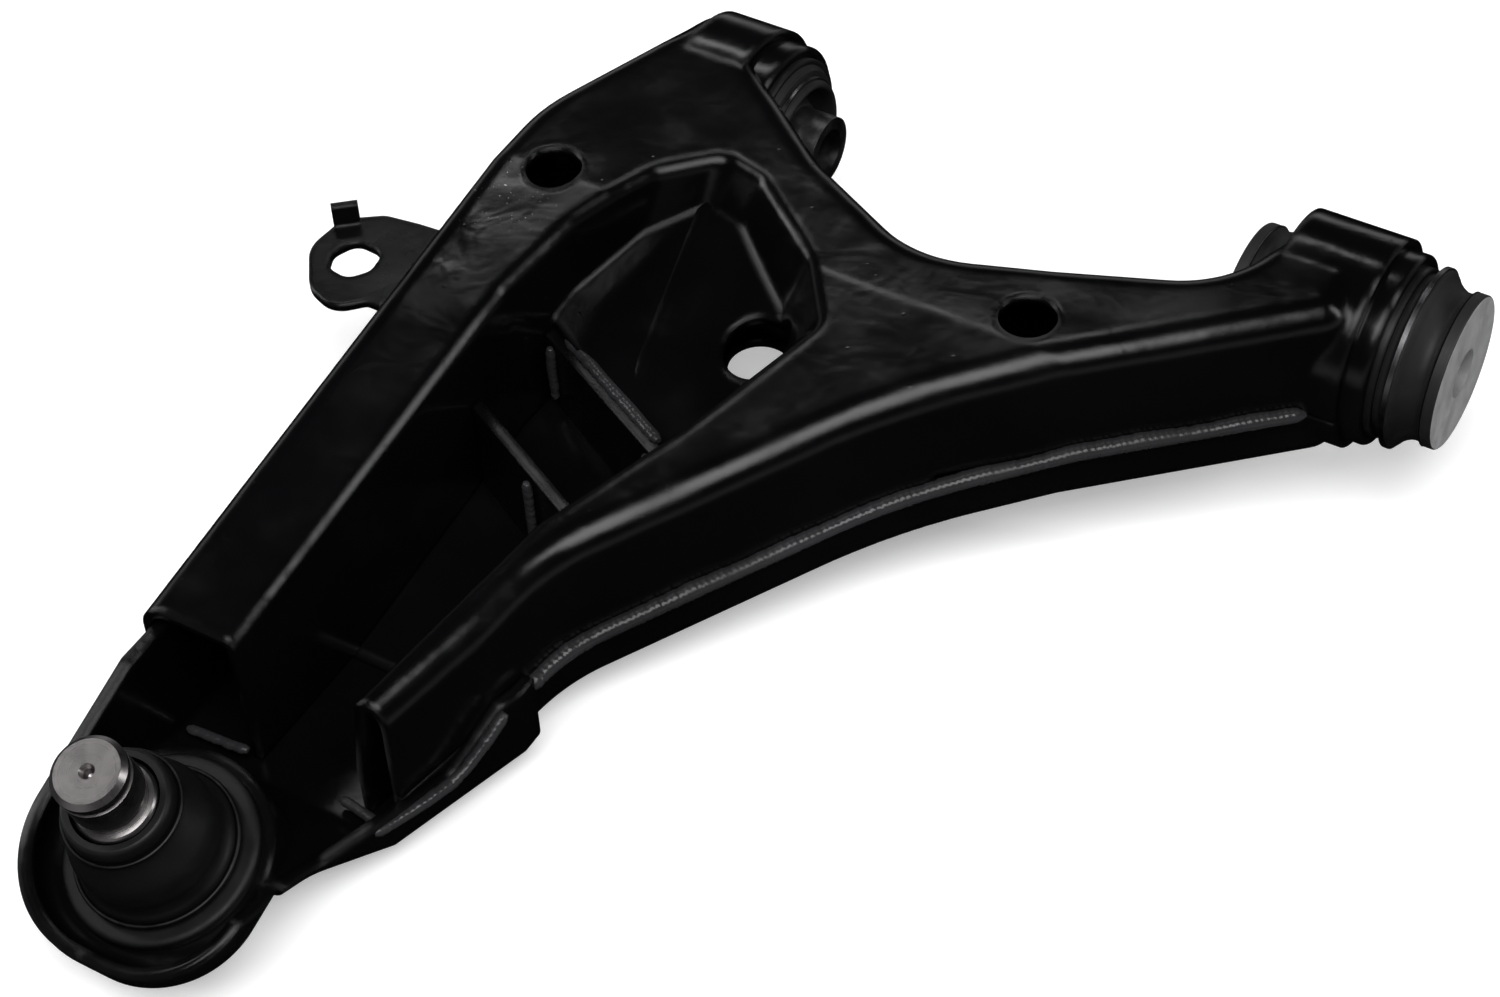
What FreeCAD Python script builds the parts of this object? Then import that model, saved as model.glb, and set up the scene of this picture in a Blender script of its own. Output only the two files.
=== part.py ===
"""Front lower control arm: two welded stamped shells, a ball joint carrier, two bonded
bushings, a damper mount, a side bracket and a ball joint. Millimetres. X runs along the
pivot axis from the rear to the front bushing, Z is up, the ball joint lies towards -Y, and
the origin is the centre of the front bushing."""
import FreeCAD, Part
import os
from math import sin, tan, radians

os.makedirs("parts", exist_ok=True)
V = FreeCAD.Vector

# --- sheet metal -----------------------------------------------------------------------
sheet = 3.5              # arm shell thickness
carrier_sheet = 4.5      # ball joint carrier thickness
gap = 0.3                # air left between welded or seated plates
edge_r = 11.0            # outer radius of the pressed edges
roll_r = 5.0             # outer radius where the rails roll over into the recess

# --- pivot bushings --------------------------------------------------------------------
bushing_span = 254.0     # front to rear bushing, centre to centre
barrel_od, barrel_wall, barrel_len = 72.0, 4.0, 36.0
press = 0.0              # the outer sleeves are pressed home: bore and sleeve share one size
sleeve_wall, sleeve_len = 2.0, 41.0
bolt_hole = 18.5         # clearance hole for an M18 bolt
inner_od = 28.0
front_len = 84.0         # over both end discs
disc_d, disc_t = 58.0, 4.0
rear_len = 74.0
run_fit = 0.05           # radial clearance of a turning fit
face_gap = 0.35          # air between a turning face and the rubber
lip_r, lip_x = 33.8, 25.0            # thrust ring of the front bushing
rear_ring_r, rear_ring_x = 25.2, 24.0

# --- arm plan and side view ------------------------------------------------------------
wrap_r = barrel_od / 2 + sheet       # outside radius of the shell wrapped on a barrel
top_z, seam_z, low_z = 38.0, -6.0, -33.0      # rail tops, weld seam, underside
bend_y, droop_slope, rail_end_y = -95.0, 0.143, -318.0
shell_end_x = 10.0       # the shell stops short of the front barrel's end
rail_hole_d = 21.0
rear_hole_xy, front_hole_xy = (-279.0, -93.0), (-89.0, -83.0)
floor_drop, floor_ref_y, floor_ref_z = 0.318, -150.0, -5.0   # slope of the recess floor
drain_xy, drain_d = (-182.0, -113.0), 25.0
low_hole_xy, low_hole_d = (-198.0, -87.0), 24.0

# --- damper mount ----------------------------------------------------------------------
damper_gap = 36.0        # clear width between the plates
plate_t, plate_angle = 4.5, -27.0
plate_mid, plate_top_z = (-222.0, -149.0), -3.0
bracket_z = 12.0

# --- ball joint ------------------------------------------------------------------------
joint_at = (-254.0, -380.0, -27.0)   # centre of the housing's top face
joint_lean = 18.0                    # the housing leans outboard
nose_r, nose_edge_r = 45.0, 10.8
deck_y, deck_z, deck_edge_r = -262.0, -58.5, 8.0     # inboard edge and underside of the carrier
ramp_y, ramp_end_y, ramp_slope = -325.0, -372.0, 0.445
boss_r = 38.0                        # raised seat round the housing
housing_r, housing_h, flange_h = 30.0, 32.0, 5.5
housing_top_r = 34.0
ball_r, ball_depth = 15.5, 13.0
stud_d, stud_len = 26.0, 63.0
collar_z = 39.5                      # top of the boot, along the stud
seat_t = 2.5


# --- helpers ---------------------------------------------------------------------------
def rounded_wire(points, z=0.0):
    """Closed wire through (x, y, corner radius) points."""
    edges, ends = [], []
    n = len(points)
    for i, (x, y, r) in enumerate(points):
        p, a, b = V(x, y, z), V(*points[i - 1][:2], z), V(*points[(i + 1) % n][:2], z)
        u, v = (a - p).normalize(), (b - p).normalize()
        turn = u.getAngle(v)
        if r <= 0 or abs(turn - radians(180)) < 1e-4:
            ends.append((p, p, None))
            continue
        run = min(r / tan(turn / 2), 0.49 * min((a - p).Length, (b - p).Length))
        radius = run * tan(turn / 2)
        mid = p + (u + v).normalize() * (radius / sin(turn / 2) - radius)
        ends.append((p + u * run, p + v * run, mid))
    for i, (start, end, mid) in enumerate(ends):
        if mid is not None:
            edges.append(Part.Arc(start, mid, end).toShape())
        nxt = ends[(i + 1) % n][0]
        if (nxt - end).Length > 1e-6:
            edges.append(Part.LineSegment(end, nxt).toShape())
    return Part.Wire(Part.__sortEdges__(edges))


def prism(points, z0, z1, grow=0.0):
    """Upright prism on a rounded outline, grown or shrunk sideways."""
    wire = rounded_wire(points, z0)
    face = Part.Face(wire)
    if grow:
        face = face.makeOffset2D(grow, 0)
    return face.extrude(V(0, 0, z1 - z0))


def side(points, x0=-400.0, x1=100.0):
    """Prism across X on a (y, z) outline."""
    wire = Part.makePolygon([V(x0, y, z) for y, z in points + points[:1]])
    return Part.Face(wire).extrude(V(x1 - x0, 0, 0))


def tube_x(r_out, r_in, x0, x1):
    body = Part.makeCylinder(r_out, x1 - x0, V(x0, 0, 0), V(1, 0, 0))
    return body.cut(Part.makeCylinder(r_in, x1 - x0, V(x0, 0, 0), V(1, 0, 0)))


def turned_x(profile, at=0.0):
    """Solid turned about the pivot axis from (x, r) points."""
    wire = Part.makePolygon([V(x + at, r, 0) for x, r in profile + profile[:1]])
    return Part.Face(wire).revolve(V(0, 0, 0), V(1, 0, 0), 360)


def turned_z(profile):
    """Solid turned about Z from (r, z) points."""
    wire = Part.makePolygon([V(r, 0, z) for r, z in profile + profile[:1]])
    return Part.Face(wire).revolve(V(0, 0, 0), V(0, 0, 1), 360)


def at_joint(shape):
    """Moves a shape from the housing's own frame into the arm."""
    shape.rotate(V(0, 0, 0), V(1, 0, 0), joint_lean)
    shape.translate(V(*joint_at))
    return shape


def solid(shape):
    """The largest solid of a shape, cleaned."""
    shape = shape.removeSplitter()
    return max(shape.Solids, key=lambda s: s.Volume)


# --- arm outline -----------------------------------------------------------------------
# The shells are drawn level, then everything outboard of bend_y droops towards the ball joint.
outline = [(-303, -345, 0), (-307, -62, 70), (-277, 20, 14), (-246, 20, 14), (-246, -2, 20),
           (-196, -40, 60), (-140, -68, 45), (-95, -52, 60), (-40, -30, 40), (-24, 20, 12),
           (6, 20, 12), (6, -30, 12), (-112, -137, 260), (-185, -243, 70), (-190, -276, 60),
           (-208, -345, 0)]
recess_top = [(-264, -360), (-266, -150), (-258, -105), (-241, -64), (-222, -44),
              (-204, -50), (-163, -86), (-140, -112), (-163, -179), (-192, -236), (-221, -360)]
recess_low = [(-262, -360), (-262, -150), (-258, -120), (-248, -95), (-232, -80),
              (-216, -82), (-186, -98), (-174, -122), (-189, -170), (-207, -225), (-224, -360)]


def sag(y):
    return droop_slope * min(0.0, y - bend_y)


def droop(shape, start=bend_y, slope=droop_slope):
    """Shears the part outboard of start, keeping upright walls upright."""
    outboard = Part.makeBox(800, 400, 300, V(-500, start - 400, -150))
    shear = FreeCAD.Matrix()
    shear.A32, shear.A34 = slope, -slope * start
    return shape.common(outboard).transformGeometry(shear).fuse(shape.cut(outboard))


def blunt(shape, edges, r):
    """Rounds edges, a size down if a radius is refused."""
    for radius in (r, 0.75 * r, 0.5 * r):
        try:
            rounded = shape.makeFillet(radius, edges)
            if rounded.isValid() and rounded.Volume > 0:
                return rounded
        except Part.OCCError:
            continue
    return shape


def level(shape, z):
    """Edges lying flat at one height, clear of the open outboard end."""
    flat = [e for e in shape.Edges if e.BoundBox.ZMax - z < 0.01 and z - e.BoundBox.ZMin < 0.01]
    return [e for e in flat if e.BoundBox.YMax > -335 and e.Length > 0.5]


def core(inset):
    """The arm's whole volume drawn level, shrunk by inset on every side, edges rounded."""
    face = Part.Face(rounded_wire(outline, low_z + inset))
    if inset:
        face = face.makeOffset2D(-inset, 0)
    block = face.extrude(V(0, 0, top_z - low_z - 2 * inset))
    for z in (top_z - inset, low_z + inset):
        block = blunt(block, level(block, z), edge_r - inset)
    return block


def wraps(inset):
    """The two round ends that wrap the barrels."""
    r = wrap_r - inset
    front = Part.makeCylinder(r, shell_end_x + 26, V(-26, 0, 0), V(1, 0, 0))
    rear = Part.makeCylinder(r, 26, V(-273, 0, 0), V(1, 0, 0))
    return [front, rear]


def recess(grow):
    """The pressed-in middle of the upper shell: sloping sides, upright below z = 0."""
    def ring(points, z):
        face = Part.Face(rounded_wire([(x, y, 9) for x, y in points], z))
        return face.makeOffset2D(grow, 0).OuterWire if grow else face.OuterWire
    upper = Part.makeLoft([ring(recess_low, 0), ring(recess_top, 60)], True, True)
    lower = Part.Face(ring(recess_low, 0)).extrude(V(0, 0, -75))
    return upper.fuse(lower)


def plate_line(offset):
    """Half space outboard of the inner damper plate, as a big turned box."""
    box = Part.makeBox(400, 300, 200, V(-200, -300 - offset, -100))
    box.rotate(V(0, 0, 0), V(0, 0, 1), plate_angle)
    box.translate(V(plate_mid[0], plate_mid[1], 0))
    return box


def recess_tool(grow):
    """Recess with its sloping floor, open to the bottom outboard of the inner plate."""
    def floor(y):
        return floor_ref_z + floor_drop * (y - floor_ref_y) - grow - sag(y)
    above = side([(70, floor(70)), (bend_y, floor(bend_y)), (-400, floor(-400)), (-400, 90),
                  (70, 90)])
    pocket = recess(grow)
    return [pocket.common(above), pocket.common(plate_line(-grow))]


def rolled(block):
    """Rounds the rail tops over into the recess."""
    pocket, rim = recess(0), []
    for e in level(block, top_z):
        span = e.LastParameter - e.FirstParameter
        on_edge = [e.valueAt(e.FirstParameter + span * k / 4) for k in (1, 2, 3)]
        if max(pocket.distToShape(Part.Vertex(q))[0] for q in on_edge) < 0.05:
            rim.append(e)
    return blunt(block, rim, roll_r)


def under(z):
    """Everything below a level that droops with the arm."""
    return side([(80, z), (bend_y, z), (-420, z + sag(-420)), (-420, -160), (80, -160)])


def upper_shell():
    outer = droop(rolled(core(0).cut(recess_tool(0)))).fuse(wraps(0))
    inner = droop(core(sheet).cut(recess_tool(sheet))).fuse(wraps(sheet))
    skirt = Part.Face(rounded_wire(outline, -120)).makeOffset2D(-sheet - gap, 0)
    skirt = skirt.extrude(V(0, 0, 200))
    inboard = Part.makeBox(600, 260, 200, V(-400, -128, seam_z - 200))
    shell = outer.cut(inner).cut(under(seam_z).cut(skirt))
    shell = shell.cut(under(low_z + sheet + gap)).cut(inboard)
    shell = shell.cut(Part.makeBox(600, 100, 200, V(-400, rail_end_y - 100, -100)))
    for x, y in (rear_hole_xy, front_hole_xy):
        shell = shell.cut(Part.makeCylinder(rail_hole_d / 2, 40, V(x, y, 18)))
    shell = shell.cut(Part.makeCylinder(drain_d / 2, 60, V(*drain_xy, -20)))
    return solid(shell.cut([bore_cuts(), carrier_room()]))


def carrier_room():
    """Clears the rails off the carrier's floor and walls."""
    below = Part.makeBox(600, 200, 100, V(-400, deck_y + gap - 200,
                                          deck_z + carrier_sheet + gap - 100))
    walls = below_rims(deck(-gap).cut(deck(carrier_sheet + gap)), gap)
    return below.fuse(walls)


def bore_cuts():
    r = barrel_od / 2
    front = Part.makeCylinder(r, 70, V(-18, 0, 0), V(1, 0, 0))
    clear = Part.makeCylinder(r, 30, V(-46, 0, 0), V(1, 0, 0))
    rear = Part.makeCylinder(r, 110, V(-320, 0, 0), V(1, 0, 0))
    return front.fuse([clear, rear])


def lower_shell():
    shell = core(0).fuse(wraps(0)).cut(core(sheet).fuse(wraps(sheet)))
    shell = shell.cut(Part.makeBox(600, 500, 100, V(-400, -400, seam_z - gap)))
    shell = shell.cut(Part.makeBox(600, 100, 200, V(-400, rail_end_y - 100, -100)))
    shell = shell.cut(Part.makeCylinder(low_hole_d / 2, 60, V(*low_hole_xy, -70)))
    return solid(droop(shell).cut([bore_cuts(), carrier_room()]))


# --- ball joint carrier ----------------------------------------------------------------
def nose(inset):
    """Round end of the carrier in the housing's frame, open inboard when it is hollowed out."""
    far = 42 + 3 * inset
    plan = [(-nose_r, far, 0), (-nose_r, -nose_r, nose_r), (nose_r, -nose_r, nose_r),
            (nose_r, 26, 30), (nose_r + 0.55 * (far - 26), far, 0)]
    z = -flange_h - carrier_sheet + inset
    face = Part.Face(rounded_wire(plan, z))
    if inset:
        face = face.makeOffset2D(-inset, 0)
    block = face.extrude(V(0, 0, 70))
    edges = [e for e in level(block, z) if e.BoundBox.YMin < 38]
    return at_joint(blunt(block, edges, nose_edge_r - inset))


def deck(inset):
    """Deeper floor between the nose and the rails, ramped up to the nose."""
    x = joint_at[0]
    end = deck_y + 3 * max(inset, 0.0)
    plan = [(x - nose_r, end, 0), (x - nose_r, ramp_end_y, 0), (x + nose_r, ramp_end_y, 0),
            (x + nose_r, -357, 40), (-183.5, -270, 0), (-183.5, end, 0)]
    z = deck_z + inset
    face = Part.Face(rounded_wire(plan, z))
    if inset:
        face = face.makeOffset2D(-inset, 0)
    block = face.extrude(V(0, 0, 100))
    edges = [e for e in block.Edges if abs(e.BoundBox.ZMax - z) < 0.01 and e.Length > 0.5
             and deck_y - 3 > e.BoundBox.YMin > ramp_end_y + inset + 1 or
             abs(e.BoundBox.ZMax - z) < 0.01 and e.BoundBox.XMax < x - nose_r + inset + 1]
    return droop(blunt(block, edges, deck_edge_r - inset), ramp_y, -ramp_slope)


def below_rims(shape, rise):
    """Trims the carrier's walls to their rims, the far side and the near side."""
    x = joint_at[0]
    far = [(-240, -3), (-335, -3), (-450, -45)]
    near = [(-240, -24), (-277, -24), (-300, -40), (-352, -38), (-394, -24), (-450, -45)]
    for rim, x0, x1 in ((far, -400, x), (near, x, 100)):
        rim = [(yy, zz + rise) for yy, zz in rim] + [(-450, 90), (-240, 90)]
        shape = shape.cut(side(rim, x0, x1))
    return shape


def carrier():
    outer = nose(0).fuse(deck(0))
    boss = at_joint(Part.makeCylinder(boss_r, 60, V(0, 0, -flange_h - 60)))
    inner = deck(carrier_sheet).cut(boss).fuse(nose(carrier_sheet))
    below = at_joint(Part.makeCylinder(boss_r - carrier_sheet, 60,
                                       V(0, 0, -flange_h - carrier_sheet - 60)))
    tub = outer.cut(inner).cut(below)
    tub = below_rims(tub, 0).fuse(tub.common(boss))
    hole = at_joint(Part.makeCylinder(housing_top_r - 2, 80, V(0, 0, -60)))
    return solid(tub.cut(hole))


# --- welds -----------------------------------------------------------------------------
def bead(edges, r, z):
    """Round bead swept along level edges."""
    wire = Part.Wire(Part.__sortEdges__(edges))
    first = wire.OrderedEdges[0]
    start = first.valueAt(first.FirstParameter)
    along = first.tangentAt(first.FirstParameter)
    if wire.OrderedVertexes[0].Point.distanceToPoint(start) > 0.01:
        start, along = first.valueAt(first.LastParameter), first.tangentAt(first.LastParameter)
    ring = Part.Wire(Part.makeCircle(r, start, along))
    return wire.makePipeShell([ring], True, False)


def seam_bead(window):
    """Bead on the shells' outer wall along the seam, inside a plan window."""
    wire = Part.Face(rounded_wire(outline, seam_z - gap / 2)).makeOffset2D(0.9, 0).OuterWire
    window = prism([(x, y, 0) for x, y in window], seam_z - 20, seam_z + 20)
    run = wire.common(window)
    rod = droop(bead(run.Edges, 3.0, seam_z))
    return solid(rod.cut(droop(core(0)).fuse(wraps(0))))


def deck_bead():
    """Bead along the inner damper plate's top corner."""
    rod = Part.makeCylinder(2.6, 74, V(-38, 1.2, plate_top_z + 0.2), V(1, 0, 0))
    rod.rotate(V(0, 0, 0), V(0, 0, 1), plate_angle)
    rod.translate(V(plate_mid[0], plate_mid[1], 0))
    return solid(rod.cut(nodes["upper_shell"]).cut(nodes["damper_plate_inner"]))


# --- bushings --------------------------------------------------------------------------
def barrel(at):
    half = barrel_len / 2
    tube = tube_x(barrel_od / 2, barrel_od / 2 - barrel_wall, at - half, at + half)
    return tube.makeFillet(1.5, rims(tube, barrel_od / 2))


def rims(shape, r):
    """The circular edges of one radius."""
    round_ones = [e for e in shape.Edges if isinstance(e.Curve, Part.Circle)]
    return [e for e in round_ones if abs(e.Curve.Radius - r) < 0.1]


def outer_sleeve(at):
    r = barrel_od / 2 - barrel_wall - press
    return tube_x(r, r - sleeve_wall, at - sleeve_len / 2, at + sleeve_len / 2)


def inner_sleeve(at, length):
    return tube_x(inner_od / 2, bolt_hole / 2, at - length / 2, at + length / 2)


def front_disc(sign):
    face = sign * front_len / 2
    inner = face - sign * disc_t
    ring = tube_x(disc_d / 2, bolt_hole / 2, min(face, inner), max(face, inner))
    outer = [e for e in rims(ring, disc_d / 2) if abs(e.Curve.Center.x - face) < 0.1]
    return ring.makeFillet(0.8, outer)


def front_rubber():
    bore = inner_od / 2 + run_fit
    r = barrel_od / 2 - barrel_wall - sleeve_wall
    end = front_len / 2 - disc_t - face_gap
    half = [(0, r), (sleeve_len / 2, r), (sleeve_len / 2 + 1.5, r + 0.4), (lip_x - 1.6, lip_r - 2.6),
            (lip_x - 1.0, lip_r - 0.6), (lip_x + 1.8, lip_r - 0.8), (lip_x + 3.4, 31.0),
            (lip_x + 5.5, 29.2), (end - 3.5, 27.6), (end - 1.2, 27.8), (end, 28.4)]
    outer = half + [(end, bore)]
    mirror = [(-x, rr) for x, rr in half[1:]][::-1]
    return turned_x([(-end, bore)] + mirror + outer)


def side_rings(at, x, r_in, r_out, t):
    """Pair of thin steel thrust rings, one each end."""
    rings = [tube_x(r_out, r_in, at + s * x - t / 2, at + s * x + t / 2) for s in (-1, 1)]
    return Part.makeCompound(rings)


def rear_rubber():
    bore = inner_od / 2 + run_fit
    r = barrel_od / 2 - barrel_wall - sleeve_wall
    half = [(0, r), (sleeve_len / 2, r), (sleeve_len / 2 + 0.6, 28.6), (rear_ring_x - 1.2, 28.0),
            (rear_ring_x - 0.8, rear_ring_r), (rear_ring_x + 0.8, rear_ring_r),
            (rear_ring_x + 2.6, 24.4), (rear_ring_x + 3.2, 22.4), (rear_ring_x - 4.5, 20.6),
            (rear_ring_x - 6.5, 18.4), (rear_ring_x - 2.0, 15.6), (rear_ring_x - 1.0, bore)]
    mirror = [(-x, rr) for x, rr in half[1:]][::-1]
    return turned_x(mirror + half, -bushing_span)


# --- damper plates and bracket ---------------------------------------------------------
def damper_plate(offset, x0, x1):
    """Upright plate across the arm; its ends follow the rails' inner walls."""
    plate = Part.makeBox(x1 - x0, plate_t, 80, V(x0, -plate_t - offset, -70))
    plate.rotate(V(0, 0, 0), V(0, 0, 1), plate_angle)
    plate.translate(V(plate_mid[0], plate_mid[1], 0))
    floor = [(y, low_z + sheet + gap + sag(y)) for y in (-345, bend_y, 70)]
    room = side([(70, plate_top_z), (-345, plate_top_z)] + floor)
    return solid(plate.common(room).common(recess(-gap)))


def bracket():
    """Flat plate on the rear rail's wall: double-D hole, bent-up tab at its corner."""
    t = 3.0
    plate = prism([(-308.2, -166, 0), (-315, -166, 3), (-324, -175, 12), (-338, -170, 16),
                   (-351, -152, 16), (-349, -133, 10), (-336, -124, 8), (-322, -122, 4),
                   (-308.2, -121, 0)], bracket_z, bracket_z + t)
    slot = prism([(-341.5, -150, 6), (-337.5, -140.5, 6), (-324.5, -141.5, 6), (-323, -152, 6),
                  (-328.5, -159.5, 6), (-338, -158, 6)], bracket_z - 1, bracket_z + t + 1)
    tab = Part.makeBox(t, 10, 12, V(-t / 2, -5, 0))
    tab.rotate(V(0, 0, 0), V(0, 0, 1), -50)
    tab.translate(V(-346.5, -134.0, bracket_z))
    return solid(plate.fuse(tab).cut(slot))


# --- ball joint ------------------------------------------------------------------------
def housing():
    z_ball = -ball_depth
    cup = ball_r + seat_t
    profile = [(ball_r - 0.6, -6.6), (ball_r + 3.1, 0), (housing_top_r - 9, 0),
               (housing_top_r - 9, -1.8), (housing_top_r - 0.8, -1.8), (housing_top_r, -2.6),
               (housing_top_r, -flange_h), (housing_top_r - 2, -flange_h),
               (housing_top_r - 2, -flange_h - carrier_sheet - 0.5),
               (housing_r, -flange_h - carrier_sheet - 0.5), (housing_r, -housing_h + 2),
               (housing_r - 2, -housing_h), (cup + 4.0, -housing_h),
               (cup + 4.0, -housing_h + 3.5), (cup, -housing_h + 3.5), (cup, z_ball)]
    blank = turned_z(profile)
    hollow = Part.makeSphere(cup, V(0, 0, z_ball)).common(
        Part.makeBox(80, 80, 60, V(-40, -40, z_ball)))
    return at_joint(solid(blank.cut(hollow)))


def seat():
    """Plastic liner round the ball, split from the cover by a small gap."""
    z_ball = -ball_depth
    outer = Part.makeSphere(ball_r + seat_t, V(0, 0, z_ball)).common(
        Part.makeBox(80, 80, 60, V(-40, -40, z_ball)))
    skirt = Part.makeCylinder(ball_r + seat_t, housing_h - ball_depth - 6.5,
                              V(0, 0, -housing_h + 6.5))
    body_ = outer.fuse(skirt)
    body_ = body_.cut(Part.makeSphere(ball_r + run_fit, V(0, 0, z_ball)))
    body_ = body_.cut(Part.makeBox(80, 80, 40, V(-40, -40, -2.2)))
    cup = Part.makeCone(14.6, 18.4, 4.5, V(0, 0, -6.2))
    return at_joint(solid(body_.cut(cup)))


def preload_washer():
    ring = turned_z([(9.3, -housing_h + 5.1), (12.5, -housing_h + 5.6), (12.5, -housing_h + 6.3),
                     (9.3, -housing_h + 5.8)])
    return at_joint(ring)


def cover_plate():
    r = ball_r + seat_t + 4.0
    plate = turned_z([(0, -housing_h + 0.4), (r - 3, -housing_h + 0.4), (r, -housing_h + 1.2),
                      (r, -housing_h + 3.5), (0, -housing_h + 3.5)])
    return at_joint(plate)


def stud():
    """Ball, tapered neck, grooved clamping pin with a centre-drill mark."""
    tip = stud_len
    r = stud_d / 2
    ball = Part.makeSphere(ball_r, V(0, 0, -ball_depth)).cut(
        Part.makeBox(60, 60, 20, V(-30, -30, -ball_depth - ball_r - 16.5)))
    pin = turned_z([(0, -ball_depth), (9.2, -ball_depth), (9.2, 6), (11.0, 22), (14.2, 36), (14.4, 38.5),
                    (13.4, 39.6), (10.6, 40.4), (10.6, 44.5), (r, 46.0), (r, tip - 6.4),
                    (r - 2.2, tip - 5.8), (r - 2.2, tip - 4.4), (r, tip - 3.8),
                    (r, tip - 1.8), (r - 1.8, tip), (2.8, tip), (1.6, tip - 1.8), (1.2, tip - 4.5),
                    (0, tip - 5.2)])
    return at_joint(solid(ball.fuse(pin)))


def boot():
    """Thin rubber skirt that bulges, draws in to a waist and ends in a thick collar."""
    land = housing_top_r - 8.6
    outer = [(27.0, -1.4), (27.2, 0.8), (26.8, 3.0), (25.6, 5.0), (25.1, 8), (25.3, 11), (25.1, 15),
             (24.2, 19), (22.6, 23), (20.8, 27), (19.4, 30.5), (19.0, 33), (19.4, 36),
             (18.6, 38.6), (17.6, collar_z)]
    inner = [(15.3, collar_z), (15.3, 34.5), (16.2, 31.5), (17.8, 28), (19.8, 24), (21.6, 19.5),
             (22.5, 15), (22.7, 11), (22.4, 8), (22.8, 4.5), (22.8, gap), (land, gap)]
    return at_joint(turned_z([(land, -1.4)] + outer + inner))


def boot_lower_ring():
    return at_joint(Part.makeTorus(28.2, 0.8, V(0, 0, 1.0), V(0, 0, 1)))


def boot_upper_ring():
    return at_joint(Part.makeTorus(20.2, 0.75, V(0, 0, 32.8), V(0, 0, 1)))


nodes = {
    "upper_shell": upper_shell(), "lower_shell": lower_shell(), "ball_joint_carrier": carrier(),
    "front_bushing_barrel": barrel(0), "rear_bushing_barrel": barrel(-bushing_span),
    "front_bushing_outer_sleeve": outer_sleeve(0),
    "rear_bushing_outer_sleeve": outer_sleeve(-bushing_span),
    "front_bushing_rubber": front_rubber(), "rear_bushing_rubber": rear_rubber(),
    "front_bushing_inner_sleeve": inner_sleeve(0, front_len - 2 * disc_t),
    "rear_bushing_inner_sleeve": inner_sleeve(-bushing_span, rear_len),
    "front_bushing_front_disc": front_disc(1), "front_bushing_rear_disc": front_disc(-1),
    "damper_plate_inner": damper_plate(0, -45, 60),
    "damper_plate_outer": damper_plate(damper_gap + plate_t, -60, 60),
    "link_bracket": bracket(), "ball_joint_housing": housing(), "ball_seat": seat(),
    "preload_washer": preload_washer(), "ball_joint_cover": cover_plate(), "ball_stud": stud(),
    "boot": boot(), "boot_lower_ring": boot_lower_ring(), "boot_upper_ring": boot_upper_ring(),
    "front_bushing_side_rings": side_rings(0, lip_x + 0.4, lip_r - 0.4, lip_r + 0.3, 1.8),
    "rear_bushing_side_rings": side_rings(-bushing_span, rear_ring_x, rear_ring_r + 0.1,
                                          rear_ring_r + 0.9, 1.6),
    "seam_weld_front": seam_bead([(30, -42), (-30, -45), (-70, -75), (-130, -100), (-230, -258),
                                  (30, -258)]),
    "seam_weld_rear": seam_bead([(-320, -40), (-290, -40), (-290, -258), (-320, -258)]),
}
nodes["damper_plate_weld"] = deck_bead()
for name, shape in nodes.items():
    shape.exportStep("parts/" + name + ".step")
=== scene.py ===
"""Looks of the control arm: procedural materials, welds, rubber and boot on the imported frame."""
import math

import bpy
from mathutils import Matrix, Vector, noise


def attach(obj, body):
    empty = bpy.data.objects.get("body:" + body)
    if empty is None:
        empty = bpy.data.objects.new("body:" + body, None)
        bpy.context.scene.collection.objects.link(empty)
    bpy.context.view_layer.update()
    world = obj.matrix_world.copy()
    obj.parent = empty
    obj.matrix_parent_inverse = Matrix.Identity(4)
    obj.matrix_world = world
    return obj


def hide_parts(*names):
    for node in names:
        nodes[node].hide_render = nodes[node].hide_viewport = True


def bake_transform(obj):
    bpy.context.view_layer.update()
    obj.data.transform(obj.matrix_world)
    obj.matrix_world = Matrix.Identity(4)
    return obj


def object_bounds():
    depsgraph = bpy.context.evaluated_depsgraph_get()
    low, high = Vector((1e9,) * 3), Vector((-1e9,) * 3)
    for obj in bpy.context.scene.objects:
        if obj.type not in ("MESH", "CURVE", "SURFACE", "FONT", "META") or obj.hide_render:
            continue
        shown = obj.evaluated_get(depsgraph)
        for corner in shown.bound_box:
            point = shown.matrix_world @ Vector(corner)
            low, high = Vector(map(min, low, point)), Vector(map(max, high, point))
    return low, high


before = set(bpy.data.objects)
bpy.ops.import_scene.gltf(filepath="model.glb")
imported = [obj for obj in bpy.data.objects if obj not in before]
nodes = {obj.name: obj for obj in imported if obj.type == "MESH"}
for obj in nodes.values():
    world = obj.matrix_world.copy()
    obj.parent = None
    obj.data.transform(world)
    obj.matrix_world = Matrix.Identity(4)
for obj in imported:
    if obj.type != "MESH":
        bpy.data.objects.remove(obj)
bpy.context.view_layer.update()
MM = 0.001

# --- the part's own sizes, in millimetres ------------------------------------------------
OUTLINE = [(-303, -345, 0), (-307, -62, 70), (-277, 20, 14), (-246, 20, 14), (-246, -2, 20),
           (-196, -40, 60), (-140, -68, 45), (-95, -52, 60), (-40, -30, 40), (-24, 20, 12),
           (6, 20, 12), (6, -30, 12), (-112, -137, 260), (-185, -243, 70), (-190, -276, 60),
           (-208, -345, 0)]
SEAM_Z, BEND_Y, DROOP = -6.2, -95.0, 0.143       # the arm droops outboard of BEND_Y
REAR_X = -254.0                                  # centre of the rear bushing
SLEEVE_R, RUBBER_R, LAND_X = 14.05, 30.0, 20.4   # rubber's hole, its radius and half length in the shell
FLOOR_Y, FLOOR_Z, FLOOR_SLOPE = -150.0, -5.0, 0.318      # recess floor
SCUFF_AT, SCUFF_REACH = (-286, -112, 38), 22     # rubbed patch by the rear rail's hole
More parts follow.
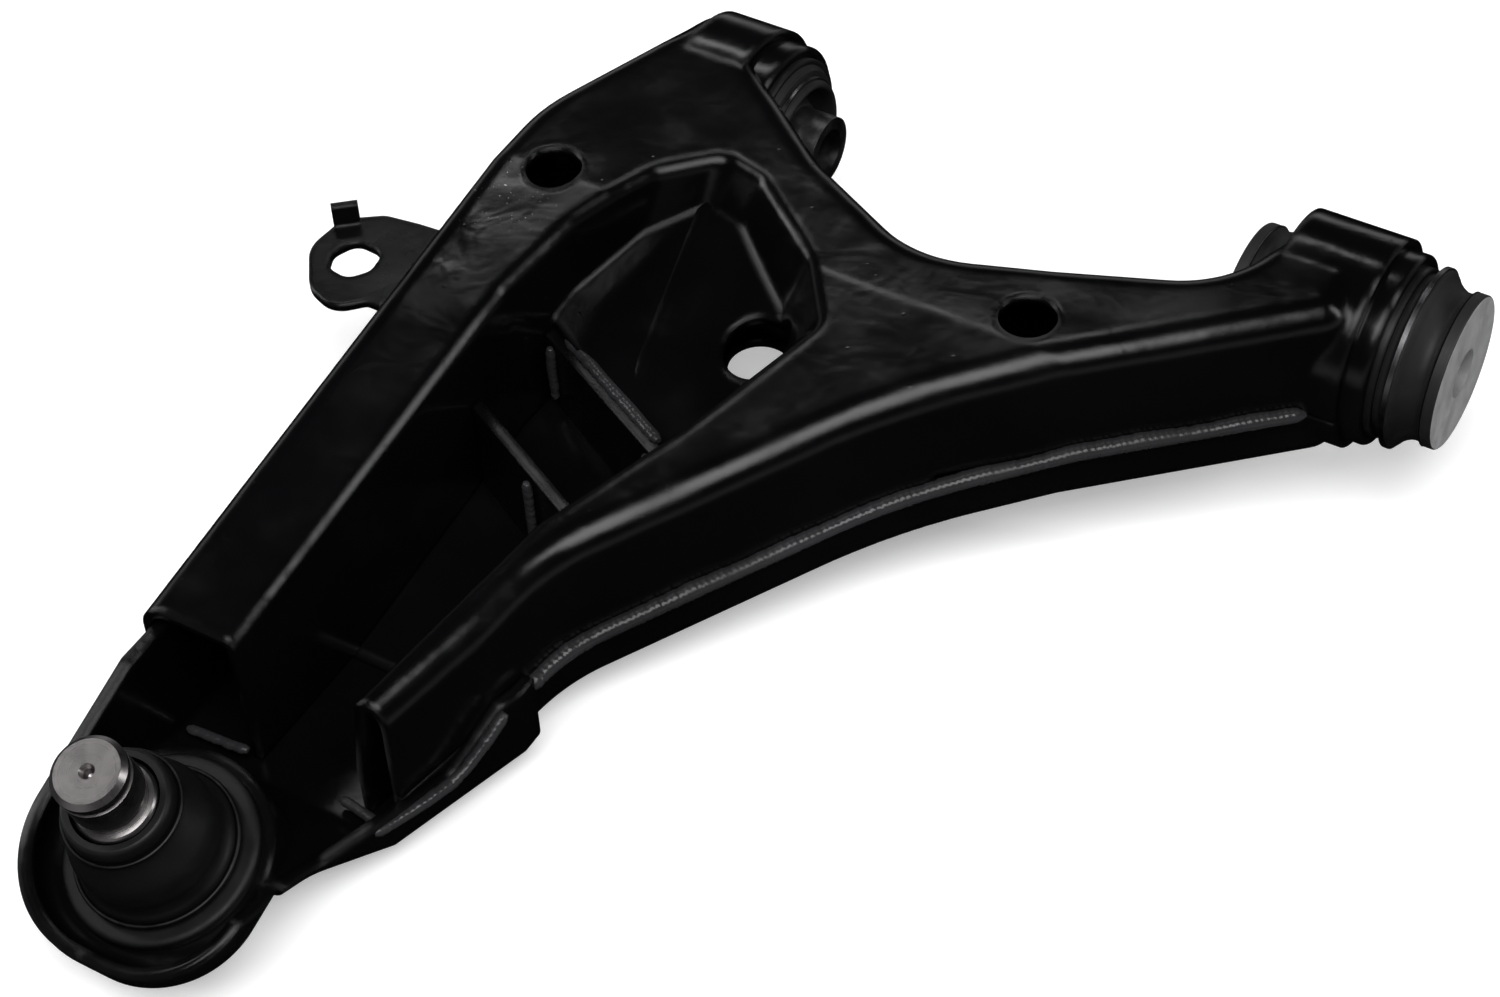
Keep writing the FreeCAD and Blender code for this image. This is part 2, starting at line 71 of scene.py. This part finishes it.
DISC_RIM_R = 28.6                                # the end discs are black beyond this
JOINT = Matrix.Translation(Vector((-254, -380, -27)) * MM) @ Matrix.Rotation(math.radians(18), 4, "X")
PLATE = Matrix.Translation(Vector((-222, -149, 0)) * MM) @ Matrix.Rotation(math.radians(-27), 4, "Z")
BORE_TO_X = Matrix.Rotation(math.radians(90), 4, "Y")


# --- node helpers --------------------------------------------------------------------------
class Mat:
    """Small builder for a node material."""

    def __init__(self, name, color, rough, metal=0.0, **sockets):
        self.m = bpy.data.materials.new(name)
        self.m.use_nodes = True
        self.t = self.m.node_tree
        self.b = self.t.nodes["Principled BSDF"]
        self.b.inputs["Base Color"].default_value = (*color, 1)
        self.b.inputs["Roughness"].default_value = rough
        self.b.inputs["Metallic"].default_value = metal
        for key, value in sockets.items():
            self.b.inputs[key.replace("_", " ")].default_value = value
        self.coord = self.add("ShaderNodeTexCoord").outputs["Object"]
        self.height = None

    def add(self, kind, **props):
        n = self.t.nodes.new(kind)
        for k, v in props.items():
            setattr(n, k, v)
        return n

    def link(self, a, b):
        self.t.links.new(a, b)
        return self

    def noise(self, scale, detail=4.0, rough=0.55, distortion=0.0, coord=None):
        n = self.add("ShaderNodeTexNoise")
        n.inputs["Scale"].default_value = scale
        n.inputs["Detail"].default_value = detail
        n.inputs["Roughness"].default_value = rough
        n.inputs["Distortion"].default_value = distortion
        self.link(coord or self.coord, n.inputs["Vector"])
        return n.outputs["Fac"]

    def ramp(self, fac, stops):
        n = self.add("ShaderNodeValToRGB")
        e = n.color_ramp.elements
        while len(e) < len(stops):
            e.new(0.5)
        for i, (pos, value) in enumerate(stops):
            e[i].position = pos
            e[i].color = (*value, 1) if isinstance(value, tuple) else (value, value, value, 1)
        self.link(fac, n.inputs["Fac"])
        return n.outputs["Color"]

    def math(self, op, a, b=None):
        n = self.add("ShaderNodeMath", operation=op)
        for i, v in enumerate((a, b)):
            if v is None:
                continue
            if isinstance(v, (int, float)):
                n.inputs[i].default_value = v
            else:
                self.link(v, n.inputs[i])
        return n.outputs[0]

    def mix(self, fac, a, b):
        n = self.add("ShaderNodeMix", data_type="RGBA")
        for key, v in (("Factor", fac), ("A", a), ("B", b)):
            sock = [s for s in n.inputs if s.name == key and s.enabled][0]
            if isinstance(v, (tuple, int, float)):
                sock.default_value = (*v, 1) if isinstance(v, tuple) else v
            else:
                self.link(v, sock)
        return [s for s in n.outputs if s.enabled][0]

    def bump(self, height, distance, strength=1.0):
        n = self.add("ShaderNodeBump")
        n.inputs["Strength"].default_value = strength
        n.inputs["Distance"].default_value = distance
        self.link(height, n.inputs["Height"])
        if self.height is not None:
            self.link(self.height, n.inputs["Normal"])
        self.height = n.outputs["Normal"]
        self.link(self.height, self.b.inputs["Normal"])
        return self

    def soften(self, radius):
        """Rounds edges in the shading, as a dipped coat does."""
        n = self.add("ShaderNodeBevel", samples=6)
        n.inputs["Radius"].default_value = radius * MM
        self.height = n.outputs["Normal"]

    def base(self, out):
        return self.link(out, self.b.inputs["Base Color"])

    def rough(self, out):
        return self.link(out, self.b.inputs["Roughness"])

    def near(self, centre, radius):
        """1 at a point, falling to 0 at a radius."""
        n = self.add("ShaderNodeVectorMath", operation="DISTANCE")
        self.link(self.coord, n.inputs[0])
        n.inputs[1].default_value = [c * MM for c in centre]
        return self.ramp(self.math("DIVIDE", n.outputs["Value"], radius * MM), [(0.35, 1.0), (1.0, 0.0)])


def coat(name, color=(0.0012, 0.0012, 0.0014), rough=0.15, flow=1.0, soft=2.6):
    """Gloss black dip coat: gentle flow, fine peel, dust nibs and paler rubbed spots."""
    m = Mat(name, color, rough, Specular_IOR_Level=0.24)
    if soft:
        m.soften(soft)
    cloud = m.noise(34, 5, 0.6)
    m.rough(m.ramp(cloud, [(0.32, rough * 0.8), (0.55, rough * 1.15), (0.74, rough * 1.9)]))
    haze = m.noise(11, 3, 0.5, 0.6)
    tint = m.ramp(haze, [(0.35, color), (0.7, tuple(c * 1.9 for c in color))])
    chips = m.ramp(m.noise(900, 3, 0.7), [(0.685, 0.0), (0.71, 1.0)])
    spot = m.near(SCUFF_AT, SCUFF_REACH)
    m.base(m.mix(m.math("MULTIPLY", spot, chips), tint, (0.62, 0.62, 0.6)))
    m.bump(m.noise(13, 2, 0.5, 0.4), 0.0026 * flow, 0.55)
    m.bump(m.noise(45, 2, 0.5, 0.8), 0.00045 * flow, 0.5)
    m.bump(m.noise(260, 2, 0.5), 0.00008, 0.4)
    nib = m.add("ShaderNodeTexVoronoi")
    nib.inputs["Scale"].default_value = 95
    m.link(m.coord, nib.inputs["Vector"])
    m.bump(m.ramp(nib.outputs["Distance"], [(0.0, 1.0), (0.075, 0.0)]), 0.00012, 0.6)
    return m.m


def rubber(name, color=(0.0045, 0.0045, 0.0048), rough=0.5):
    """Moulded rubber: fine grain, faint bloom, uneven roughness."""
    m = Mat(name, color, rough, Specular_IOR_Level=0.22)
    bloom = m.noise(26, 5, 0.6, 0.4)
    m.base(m.ramp(bloom, [(0.35, color), (0.72, tuple(c * 2.4 for c in color))]))
    m.rough(m.ramp(m.noise(60, 4, 0.6), [(0.3, rough * 0.85), (0.75, rough * 1.35)]))
    m.bump(m.noise(700, 4, 0.65), 0.00009, 0.5)
    m.bump(m.noise(70, 3, 0.5), 0.0004, 0.35)
    return m.m


def steel(name, color, rough, place, rings, axis=2, dark=None, wear=1.0, rim=None, metal=1.0):
    """Turned steel: rings round the part's own axis, stains, scratches and a rim gone black."""
    m = Mat(name, color, rough, metal)
    inv = place.inverted()
    local = m.add("ShaderNodeMapping")
    local.inputs["Location"].default_value = inv.to_translation()
    local.inputs["Rotation"].default_value = inv.to_euler("XYZ")
    m.link(m.coord, local.inputs["Vector"])
    split = m.add("ShaderNodeSeparateXYZ")
    m.link(local.outputs[0], split.inputs[0])
    across = [split.outputs[i] for i in range(3) if i != axis]
    radius = m.math("SQRT", m.math("ADD", m.math("MULTIPLY", across[0], across[0]),
                                   m.math("MULTIPLY", across[1], across[1])))
    turn = m.math("ADD", radius, split.outputs[axis])
    groove = m.math("SINE", m.math("MULTIPLY", turn, rings))
    m.bump(groove, 0.000006, 0.2)
    spread = m.add("ShaderNodeCombineXYZ")
    m.link(m.math("MULTIPLY", turn, 3000.0), spread.inputs[0])
    lines = m.noise(1.0, 2, 0.5, coord=spread.outputs[0])
    stain = m.noise(90, 5, 0.65, 0.5)
    low = dark or tuple(c * 0.55 for c in color)
    tone = m.mix(m.ramp(stain, [(0.38, 0.0), (0.66, 1.0)]), low, color)
    if rim:
        tone = m.mix(m.math("GREATER_THAN", radius, rim * MM), tone, (0.012, 0.012, 0.012))
    m.base(tone)
    m.rough(m.ramp(m.math("ADD", m.math("MULTIPLY", lines, 0.6), m.math("MULTIPLY", stain, 0.4)),
                   [(0.3, rough * 0.75), (0.7, rough * 1.5)]))
    m.bump(m.noise(500, 3, 0.6), 0.00004 * wear, 0.4)
    return m.m


# --- mesh helpers --------------------------------------------------------------------------
def mesh(name, verts, faces, matrix, material, sharp=38):
    me = bpy.data.meshes.new(name)
    me.from_pydata([tuple(matrix @ Vector(v)) for v in verts], [], faces)
    me.validate()
    me.materials.append(material)
    for p in me.polygons:
        p.use_smooth = True
    if sharp:
        me.set_sharp_from_angle(angle=math.radians(sharp))
    ob = bpy.data.objects.new(name, me)
    bpy.context.collection.objects.link(ob)
    return ob


def curve_points(points, steps=5):
    """Catmull-Rom through (r, z) points; a third value of 0 keeps a corner sharp."""
    out = []
    n = len(points)
    for i in range(n - 1):
        p1, p2 = points[i], points[i + 1]
        p0 = points[i - 1] if i > 0 and len(p1) == 2 else p1
        p3 = points[i + 2] if i + 2 < n and len(p2) == 2 else p2
        for k in range(steps):
            t = k / steps
            out.append(tuple(0.5 * (2 * b + (c - a) * t + (2 * a - 5 * b + 4 * c - d) * t * t
                                    + (3 * b - a - 3 * c + d) * t ** 3)
                             for a, b, c, d in zip(p0[:2], p1[:2], p2[:2], p3[:2])))
    out.append(tuple(points[-1][:2]))
    return out


def lathe(name, profile, matrix, material, n=160, ripple=None, sharp=38):
    """Turned mesh about Z from a closed (r, z) profile in millimetres."""
    verts, faces = [], []
    m = len(profile)
    for j in range(n):
        a = 2 * math.pi * j / n
        for r, z in profile:
            rr = r + (ripple(r, z, a) if ripple else 0.0)
            verts.append((rr * math.cos(a) * MM, rr * math.sin(a) * MM, z * MM))
    for j in range(n):
        k = (j + 1) % n
        for i in range(m):
            h = (i + 1) % m
            faces.append((j * m + i, k * m + i, k * m + h, j * m + h))
    return mesh(name, verts, faces, matrix, material, sharp)


def rounded(points, closed=True, step=2.0):
    """Rounded polyline in plan, sampled finely."""
    out = []
    n = len(points)
    for i, (x, y, r) in enumerate(points):
        p = Vector((x, y))
        if not closed and i in (0, n - 1):
            out.append(p)
            continue
        a, b = Vector(points[i - 1][:2]), Vector(points[(i + 1) % n][:2])
        if r <= 0:
            out.append(p)
            continue
        u, v = (a - p).normalized(), (b - p).normalized()
        half = u.angle(v) / 2
        run = min(r / math.tan(half), 0.49 * min((a - p).length, (b - p).length))
        rad = run * math.tan(half)
        c = p + (u + v).normalized() * (rad / math.sin(half))
        s, e = p + u * run - c, p + v * run - c
        turn = s.angle_signed(e)
        k = max(2, int(abs(turn) * rad / step))
        for q in range(k + 1):
            w = Matrix.Rotation(-turn * q / k, 2)
            out.append(c + w @ s)
    return out


def resample(path, step):
    out, left = [path[0].copy()], step
    for a, b in zip(path, path[1:]):
        d = (b - a).length
        if d < 1e-9:
            continue
        pos = left
        while pos <= d:
            out.append(a.lerp(b, pos / d))
            pos += step
        left = pos - d
    return out


def weld(name, path, r, matrix, material, seed=0.0):
    """Weld bead along 3-D points: stacked crescents of uneven width on a wandering line."""
    step, sides = 0.45, 18
    pitch, wander, flat = 2.3, 0.7, 0.85
    pts = resample([Vector(p) for p in path], step)
    n = len(pts)
    verts, faces = [], []
    for i, p in enumerate(pts):
        t = (pts[min(i + 1, n - 1)] - pts[max(i - 1, 0)]).normalized()
        side = t.cross(Vector((0, 0, 1)))
        side = side.normalized() if side.length > 0.2 else Vector((1, 0, 0))
        up = side.cross(t).normalized()
        s = i * step
        slow = noise.noise(Vector((s * 0.055, seed, 1.3)))
        quick = noise.noise(Vector((s * 0.35, seed, 7.7)))
        mid = p + up * (slow * wander) + side * (quick * 0.25)
        end = min(1.0, 0.35 + min(i, n - 1 - i) * step / (r * 1.6)) if n > 8 else 1.0
        width = r * (1 + 0.16 * slow + 0.10 * quick) * math.sqrt(end)
        for k in range(sides):
            a = 2 * math.pi * k / sides
            lead = s + 1.5 * math.cos(a) ** 2 + 0.5 * noise.noise(Vector((s * 0.2, a, seed)))
            phase = (lead / pitch) % 1.0
            scale = width * (1 + 0.085 * (1 - phase) ** 1.6 - 0.03)
            verts.append((mid + side * (math.cos(a) * scale) + up * (math.sin(a) * scale * flat)) * MM)
    for i in range(n - 1):
        for k in range(sides):
            h = (k + 1) % sides
            faces.append((i * sides + k, i * sides + h, (i + 1) * sides + h, (i + 1) * sides + k))
    faces.append(tuple(range(sides))[::-1])
    faces.append(tuple((n - 1) * sides + k for k in range(sides)))
    return mesh(name, verts, faces, matrix, material, 0)


def sag(y):
    return DROOP * min(0.0, y - BEND_Y)


# --- materials -----------------------------------------------------------------------------
ARM = coat("black_dip_coat", soft=4.2)
PLATE_COAT = coat("black_dip_coat_plates", rough=0.24, flow=0.7)
# the beads' coat is lighter than the arm's: a painted sheen for the pale shine along the welds
BEAD = coat("coated_weld_painted_sheen", color=(0.014, 0.014, 0.015), rough=0.24, flow=0.4, soft=0)
FORGED = coat("coated_forging", color=(0.003, 0.003, 0.0033), rough=0.38, flow=0.6)
RUBBER = rubber("bushing_rubber")
BOOT = rubber("boot_rubber", (0.0022, 0.0022, 0.0024), 0.42)
PIN = steel("machined_stud", (0.27, 0.255, 0.255), 0.27, JOINT, 15000.0, 2, (0.2, 0.19, 0.19), wear=0.15)
DISC = steel("turned_disc", (0.33, 0.33, 0.335), 0.5, Matrix.Identity(4), 13000.0, 0, (0.25, 0.25, 0.255),
             wear=0.3, rim=DISC_RIM_R, metal=0.35)
# darker than bare steel, partly painted shade: the sleeve's tone stands in for the shade inside the bushings'
# bores
SLEEVE = steel("bushing_sleeve", (0.16, 0.16, 0.157), 0.36, Matrix.Identity(4), 3600.0, 0, (0.06, 0.06, 0.06))
RING = steel("thin_steel_ring", (0.16, 0.16, 0.165), 0.3, Matrix.Identity(4), 3000.0, 0)
WIRE = steel("blackened_wire", (0.03, 0.03, 0.031), 0.4, JOINT, 3000.0)
LINER = rubber("seat_plastic", (0.5, 0.48, 0.43), 0.4)

WEARS = {"upper_shell": ARM, "lower_shell": ARM, "ball_joint_carrier": ARM, "link_bracket": PLATE_COAT,
         "damper_plate_inner": PLATE_COAT, "damper_plate_outer": PLATE_COAT,
         "front_bushing_barrel": ARM, "rear_bushing_barrel": ARM,
         "front_bushing_outer_sleeve": FORGED, "rear_bushing_outer_sleeve": FORGED,
         "front_bushing_inner_sleeve": SLEEVE, "rear_bushing_inner_sleeve": SLEEVE,
         "front_bushing_front_disc": DISC, "front_bushing_rear_disc": DISC,
         "front_bushing_side_rings": RING, "rear_bushing_side_rings": RING,
         "ball_joint_housing": FORGED, "ball_joint_cover": FORGED, "ball_seat": LINER,
         "preload_washer": SLEEVE, "ball_stud": PIN, "boot_lower_ring": WIRE, "boot_upper_ring": WIRE,
         "seam_weld_front": BEAD, "seam_weld_rear": BEAD, "damper_plate_weld": BEAD,
         "front_bushing_rubber": RUBBER, "rear_bushing_rubber": RUBBER, "boot": BOOT}
for name, ob in nodes.items():
    for s in ob.material_slots:
        s.material = WEARS[name]

# --- bushing rubber ------------------------------------------------------------------------
half = [(RUBBER_R, 0, 0), (RUBBER_R, LAND_X, 0),
        (30.3, 21.6), (30.6, 23.0), (31.6, 23.9), (33.1, 24.3), (33.3, 25.6),
        (33.2, 26.8), (32.2, 27.9), (30.6, 29.2), (29.0, 31.2), (27.9, 33.4), (27.7, 35.4),
        (28.3, 37.0), (27.9, 37.6), (SLEEVE_R, 37.65, 0)]
front = curve_points(half, 5)
profile = [(r, -z) for r, z in front[::-1]] + front


def mould(r, z, a):
    """Faint flash line and hand-moulded unevenness."""
    line = 0.22 * math.exp(-(math.sin(a / 2 + 0.4) / 0.02) ** 2) if r > 26 else 0.0
    return line + 0.12 * noise.noise(Vector((math.cos(a) * 2, math.sin(a) * 2, z * 0.08)))


front_rubber = lathe("front_rubber_moulding", profile, BORE_TO_X, RUBBER, ripple=mould)
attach(front_rubber, "control_arm")
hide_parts("front_bushing_rubber")

half = [(RUBBER_R, 0, 0), (RUBBER_R, LAND_X, 0),
        (29.4, 21.2), (28.7, 22.0), (28.2, 22.7), (26.6, 23.0), (25.2, 23.3), (25.2, 24.9),
        (24.7, 26.4), (23.5, 27.2), (22.3, 26.6), (21.2, 23.5), (20.3, 20.2),
        (18.9, 18.2), (17.0, 19.0), (15.8, 21.4), (14.9, 22.8), (SLEEVE_R, 23.0, 0)]
rear = curve_points(half, 5)
profile = [(r, -z) for r, z in rear[::-1]] + rear
REAR = Matrix.Translation((REAR_X * MM, 0, 0)) @ BORE_TO_X
rear_rubber = lathe("rear_rubber_moulding", profile, REAR, RUBBER, ripple=mould)
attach(rear_rubber, "control_arm")
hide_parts("rear_bushing_rubber")

# --- boot ----------------------------------------------------------------------------------
skin = curve_points([(25.6, -1.2, 0), (26.9, -1.3), (27.3, 0.9), (26.9, 3.0), (25.8, 4.9), (25.1, 7.5),
                     (25.3, 11), (25.15, 15), (24.3, 19), (22.7, 23), (20.9, 27), (19.5, 30.3), (18.95, 32.8),
                     (19.35, 35.6), (18.7, 38.5), (17.6, 39.5, 0), (15.4, 39.5, 0)], 5)
lining = curve_points([(15.4, 34.5), (16.3, 31.5), (17.9, 28), (19.9, 24), (21.7, 19.5), (22.6, 15),
                       (22.8, 11), (22.5, 8), (22.9, 4.5), (22.9, 0.4, 0), (25.6, 0.4, 0)], 4)
CUT = 11.5      # low enough that a tilted stud clears the wall on either half


def part_of(points, low):
    """The profile's points below or above the cut."""
    return [(r, z) for r, z in points if (z <= CUT if low else z >= CUT)]


def cross(points):
    """Radius where the profile passes the cut height."""
    for (r1, z1), (r2, z2) in zip(points, points[1:]):
        if (z1 - CUT) * (z2 - CUT) <= 0 and z1 != z2:
            return r1 + (r2 - r1) * (CUT - z1) / (z2 - z1)


mid_out = (cross(skin), CUT)
mid_in = (cross(lining), CUT)
foot = part_of(skin, True) + [mid_out, mid_in] + part_of(lining, True)
collar = [mid_out] + part_of(skin, False) + part_of(lining, False) + [mid_in]
boot_low = lathe("boot_foot", foot, JOINT, BOOT)
boot_top = lathe("boot_top", collar, JOINT, BOOT)
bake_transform(boot_low)
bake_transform(boot_top)
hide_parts("boot")
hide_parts("boot")

# --- welds ---------------------------------------------------------------------------------
SEAM_ENDS = (-264, -37)          # the seam beads' ends in y
PLATE_ENDS = ((-34, -6, -30, -4), (33, -6, -30, -4), (-41, -47, -34, -4), (21, -47, -34, -4))
NEAR_RIM = [(-184.6, -278, -26), (-186.4, -287, -31.5), (-189, -296, -37), (-191.5, -303, -40.4),
            (-194.5, -312, -41.2), (-198.5, -322, -41.6), (-203, -333, -41.8)]
TUB_Y, TUB_Z = -320.5, -50.5     # just outboard of the rails' ends, above the carrier's floor


def along(points, lo, hi, out):
    """A stretch of the shells' outline between two y values, moved outward, at the seam."""
    edge, run = rounded(points, closed=False), []
    line = resample([Vector((q.x, q.y, 0)) for q in edge], 2.0)
    for a, b in zip(line, line[1:]):
        d = (b - a).normalized()
        w = a + Vector((-d.y, d.x, 0)) * out
        if lo <= w.y <= hi:
            run.append(Vector((w.x, w.y, SEAM_Z + sag(w.y))))
    return run


def bead(name, path, r, seed, matrix=Matrix.Identity(4), replaced=None):
    """A coated weld bead on the arm, in place of a CAD weld node if one is named."""
    ob = weld(name, path, r, matrix, BEAD, seed)
    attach(ob, "control_arm")
    if replaced:
        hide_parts(replaced)


bead("front_seam_bead", along(OUTLINE[10:], *SEAM_ENDS, 1.5), 3.3, 1.0, replaced="seam_weld_front")
bead("rear_seam_bead", along(OUTLINE[:3], *SEAM_ENDS, 1.2), 3.1, 2.0, replaced="seam_weld_rear")
bead("inner_plate_bead", [(x, 1.0, -2.9) for x in range(-33, 35, 4)], 2.4, 3.0, PLATE,
     "damper_plate_weld")
# short beads down the ends of both plates: x, y, lower and upper z in the plates' own frame
for k, (x, y, z0, z1) in enumerate(PLATE_ENDS):
    upright = [(x, y, z0 + 2 * q) for q in range((z1 - z0) // 2 + 1)]
    bead("plate_end_bead_%d" % (k + 1), upright, 2.0, 10.0 + k, PLATE)
# beads along the carrier's near rim, and by the rails' ends in the tub
bead("carrier_near_bead", NEAR_RIM, 2.3, 20.0)
rear_end = [(x, TUB_Y, TUB_Z + 0.1 * (x + 292)) for x in range(-292, -262, 3)]
bead("tub_bead_rear", rear_end, 1.9, 21.0)
front_end = [(x, TUB_Y - 0.15 * (x + 226), TUB_Z) for x in range(-226, -204, 3)]
bead("tub_bead_front", front_end, 1.9, 22.0)

# --- pressed crease down the recess floor ----------------------------------------------------
CREASE_FROM, CREASE_RUN, CREASE_STEPS = (-235, -36), (20, -112), 30
CREASE_SECTION = ((-7, 0), (-3.5, 0.7), (0, 2.6), (3.5, 0.7), (7, 0))    # across, height
SINK, EDGE_SINK, LEAN = 1.2, 0.6, 0.18


def floor_z(y):
    return FLOOR_Z + FLOOR_SLOPE * (y - FLOOR_Y)


verts, faces = [], []
for i in range(CREASE_STEPS + 1):
    x, y = (a + b * i / CREASE_STEPS for a, b in zip(CREASE_FROM, CREASE_RUN))
    z = floor_z(y) - SINK
    fade = min(1.0, i / 4, (CREASE_STEPS - i) / 4)
    for dx, dz in CREASE_SECTION:
        rise = dz * fade if dz else -EDGE_SINK
        verts.append(((x + dx) * MM, (y + dx * LEAN) * MM, (z + rise) * MM))
across = len(CREASE_SECTION)
for i in range(CREASE_STEPS):
    for k in range(i * across, i * across + across - 1):
        faces.append((k, k + 1, k + across + 1, k + across))
ridge = mesh("floor_crease", verts, faces, Matrix.Identity(4), ARM, 0)
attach(ridge, "control_arm")

# --- stage, light, camera ------------------------------------------------------------------
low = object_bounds()[0].z - 0.0005
bpy.ops.mesh.primitive_plane_add(size=14, location=(0, 0, low))
floor = bpy.context.object
floor.name = "floor"
paper = Mat("pale_floor", (0.86, 0.86, 0.86), 0.75)
paper.base(paper.ramp(paper.noise(0.8, 2), [(0.3, 0.85), (0.7, 0.88)]))
paper.b.inputs["Emission Color"].default_value = (1, 1, 1, 1)
paper.b.inputs["Emission Strength"].default_value = 0.34
floor.data.materials.append(paper.m)
floor.visible_glossy = False

world = bpy.data.worlds.new("studio")
bpy.context.scene.world = world
world.use_nodes = True
wt = world.node_tree
sky = wt.nodes["Background"]
coord = wt.nodes.new("ShaderNodeTexCoord")
split = wt.nodes.new("ShaderNodeSeparateXYZ")
shade = wt.nodes.new("ShaderNodeValToRGB")
wt.links.new(coord.outputs["Generated"], split.inputs[0])
half_up = wt.nodes.new("ShaderNodeMath")
half_up.operation = "MULTIPLY_ADD"
half_up.inputs[1].default_value = half_up.inputs[2].default_value = 0.5
wt.links.new(split.outputs[2], half_up.inputs[0])
wt.links.new(half_up.outputs[0], shade.inputs["Fac"])
wt.links.new(shade.outputs["Color"], sky.inputs["Color"])
e = shade.color_ramp.elements
e[0].position, e[0].color = 0.42, (0.004, 0.004, 0.0042, 1)
e[1].position, e[1].color = 0.60, (0.012, 0.012, 0.0125, 1)
horizon = e.new(0.5)
horizon.color = (0.9, 0.9, 0.9, 1)
sky.inputs["Strength"].default_value = 0.9


def area(name, place, size, power):
    """A rectangular lamp aimed at the middle of the arm."""
    data = bpy.data.lights.new(name, "AREA")
    data.shape = "RECTANGLE"
    data.size, data.size_y = size
    data.energy = power
    ob = bpy.data.objects.new(name, data)
    bpy.context.collection.objects.link(ob)
    ob.location = place
    ob.rotation_euler = (Vector(AIM) - Vector(place)).to_track_quat("-Z", "Y").to_euler()


AIM = (-0.15, -0.19, 0.0)
area("overhead", (0.6, -1.3, 2.6), (2.4, 1.5), 92)
area("left_strip", (-1.9, -0.5, 0.9), (0.5, 1.8), 16)
area("right_strip", (1.7, 0.7, 1.1), (0.4, 1.6), 14)
area("back_fill", (-1.6, 1.9, 2.9), (1.6, 0.35), 12)

CAMERA_AT = Vector((0.28331, -0.83765, 0.82183))
CAMERA_RIGHT = Vector((0.85967, 0.50920, -0.04106))
CAMERA_UP = Vector((-0.34257, 0.63424, 0.69310))
cam_data = bpy.data.cameras.new("camera")
cam = bpy.data.objects.new("camera", cam_data)
bpy.context.collection.objects.link(cam)
cam_data.sensor_width, cam_data.lens = 36.0, 79.2
cam_data.clip_start, cam_data.clip_end = 0.05, 50
columns = (CAMERA_RIGHT, CAMERA_UP, CAMERA_RIGHT.cross(CAMERA_UP), CAMERA_AT)
cam.matrix_world = Matrix([[c[row] for c in columns] for row in range(3)] + [[0, 0, 0, 1]])
bpy.context.scene.camera = cam
bpy.context.scene.view_settings.view_transform = "Standard"
